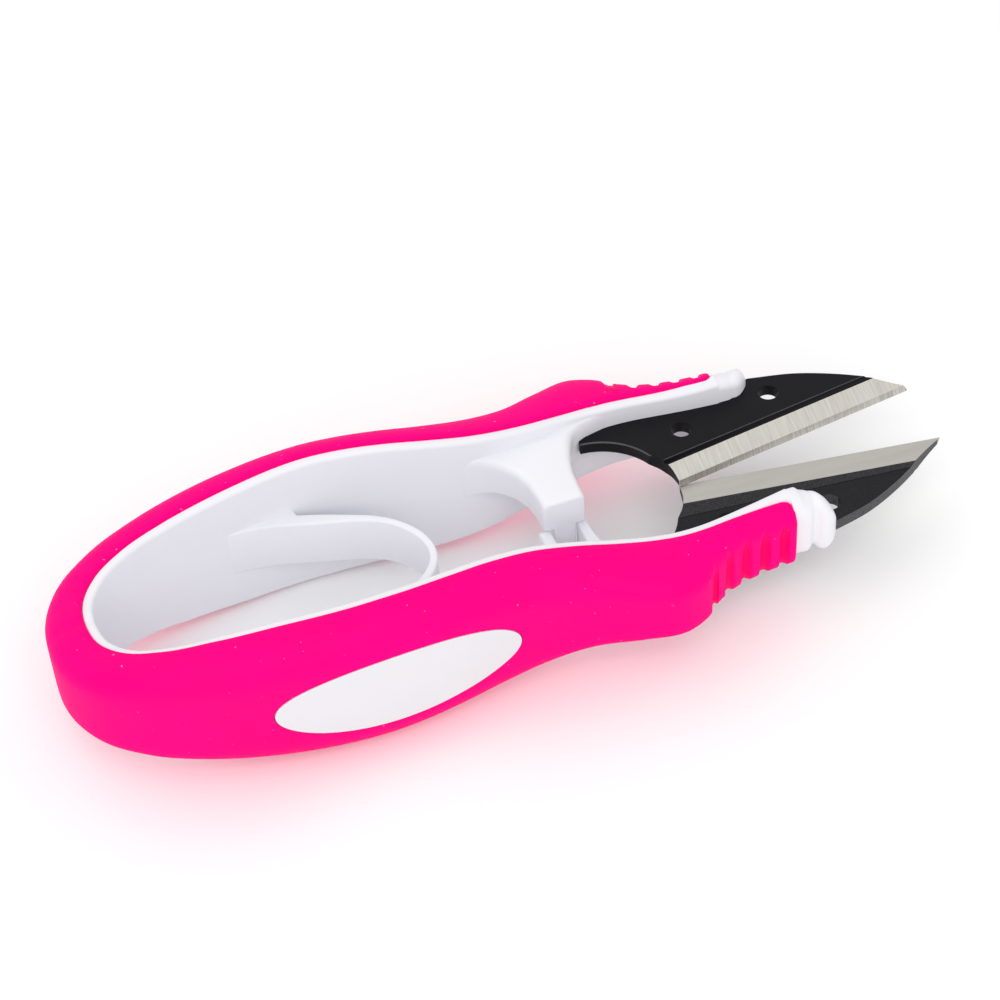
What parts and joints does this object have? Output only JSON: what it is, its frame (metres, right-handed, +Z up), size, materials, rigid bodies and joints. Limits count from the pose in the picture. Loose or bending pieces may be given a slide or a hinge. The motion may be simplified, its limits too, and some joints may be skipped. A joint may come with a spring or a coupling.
{
  "type": "thread snips",
  "caption": "Thread snips lying on their side: soft pink grip over a white sprung bow frame, guide between the arms and black overlapping blades.",
  "frame": {"origin": "middle of the bounding box in plan, on the plane the snips lie on", "axes": "+X towards the blade tips, +Y towards the far arm (the one whose blade is on top), +Z up through the thickness"},
  "size_m": [0.1244, 0.0444, 0.0229],
  "materials": {
    "white_plastic": "smooth white moulding",
    "white_inlay": "fine satin",
    "pink_grip": "soft-touch matte overmould",
    "black_steel": "black coated blade with ground cutting bevel"
  },
  "bodies": {
    "near_arm": {"near_frame": "white_plastic", "near_grip": "pink_grip", "near_oval_inlay": "white_inlay", "spring_leaf": "white_plastic", "guide_channel": "white_plastic", "near_collar": "white_plastic", "near_blade": "black_steel"},
    "far_arm": {"far_frame": "white_plastic", "far_grip": "pink_grip", "far_oval_inlay": "white_inlay", "guide_tongue": "white_plastic", "far_collar": "white_plastic", "far_blade": "black_steel"}
  },
  "joints": [
    {"name": "squeeze", "type": "hinge", "parent": "near_arm", "child": "far_arm", "pos_m": [-0.05555, 0, 0.01145], "axis": [0, 0, -1], "range_deg": [0, 5.5], "stiffness_Nm_per_rad": 3, "deforming": ["spring_leaf"]}
  ]
}
